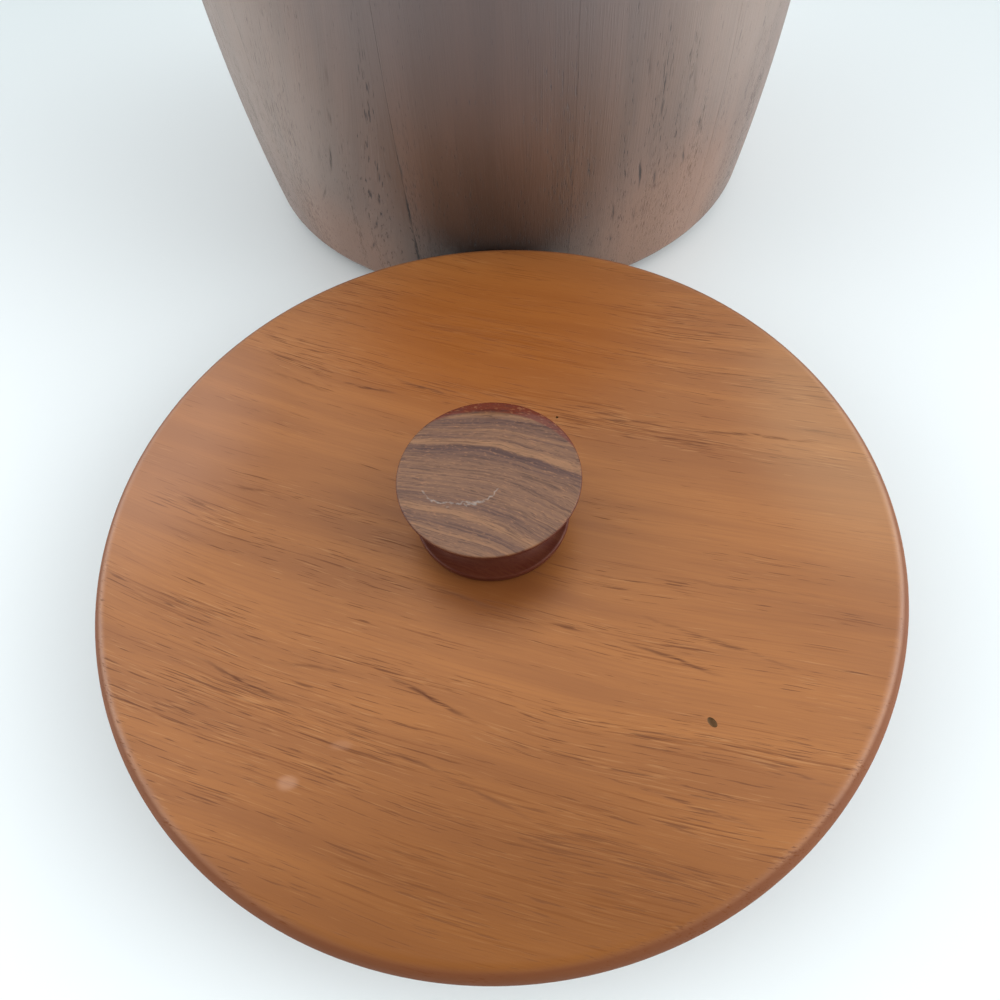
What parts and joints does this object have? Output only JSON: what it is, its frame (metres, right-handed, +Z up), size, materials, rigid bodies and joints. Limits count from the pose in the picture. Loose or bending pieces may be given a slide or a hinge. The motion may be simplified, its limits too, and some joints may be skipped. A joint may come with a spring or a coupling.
{
  "type": "wooden canister",
  "caption": "Round bowed canister of teak staves with a moulded liner, and its flat lid with a turned knob lying in front of it.",
  "frame": {"origin": "centre of the body's underside, on the surface that it stands on", "axes": "+Z up along the body's axis, the lid lies straight towards -Y, +X to the right as seen over the lid"},
  "size_m": [0.2, 0.3961, 0.135],
  "materials": {
    "shell_teak": "upright teak staves, thin satin lacquer",
    "lid_teak": "straight teak grain, thin satin lacquer",
    "knob_teak": "turned dark teak, satin lacquer",
    "base_ply": "sanded teak-faced plywood",
    "cork": "pressed cork, matt",
    "foam": "expanded foam beads",
    "liner_plastic": "moulded ivory plastic, soft gloss",
    "rubber": "moulded black rubber",
    "zinc_steel": "bright zinc plate"
  },
  "bodies": {
    "canister": {"stave_01": "shell_teak", "stave_02": "shell_teak", "stave_03": "shell_teak", "stave_04": "shell_teak", "stave_05": "shell_teak", "stave_06": "shell_teak", "stave_07": "shell_teak", "stave_08": "shell_teak", "stave_09": "shell_teak", "stave_10": "shell_teak", "stave_11": "shell_teak", "stave_12": "shell_teak", "base_board": "base_ply", "cork_foot": "cork", "foam_disc": "foam", "foam_sleeve_left": "foam", "foam_sleeve_right": "foam"},
    "liner_tub": {"liner": "liner_plastic"},
    "lid": {"lid_board": "lid_teak", "knob": "knob_teak", "knob_screw": "zinc_steel", "knob_washer": "zinc_steel", "lid_plug": "liner_plastic", "lid_gasket": "rubber", "lid_foam": "foam", "plug_screw_1": "zinc_steel", "plug_screw_2": "zinc_steel", "plug_screw_3": "zinc_steel", "plug_screw_4": "zinc_steel"}
  },
  "joints": [
    {"name": "lid_lift", "type": "slide", "parent": "canister", "child": "lid", "axis": [0, -0.2588, 0.9659], "range_m": [0, 0.2]},
    {"name": "liner_lift", "type": "slide", "parent": "canister", "child": "liner_tub", "axis": [0, 0, 1], "range_m": [0, 0.125]}
  ]
}
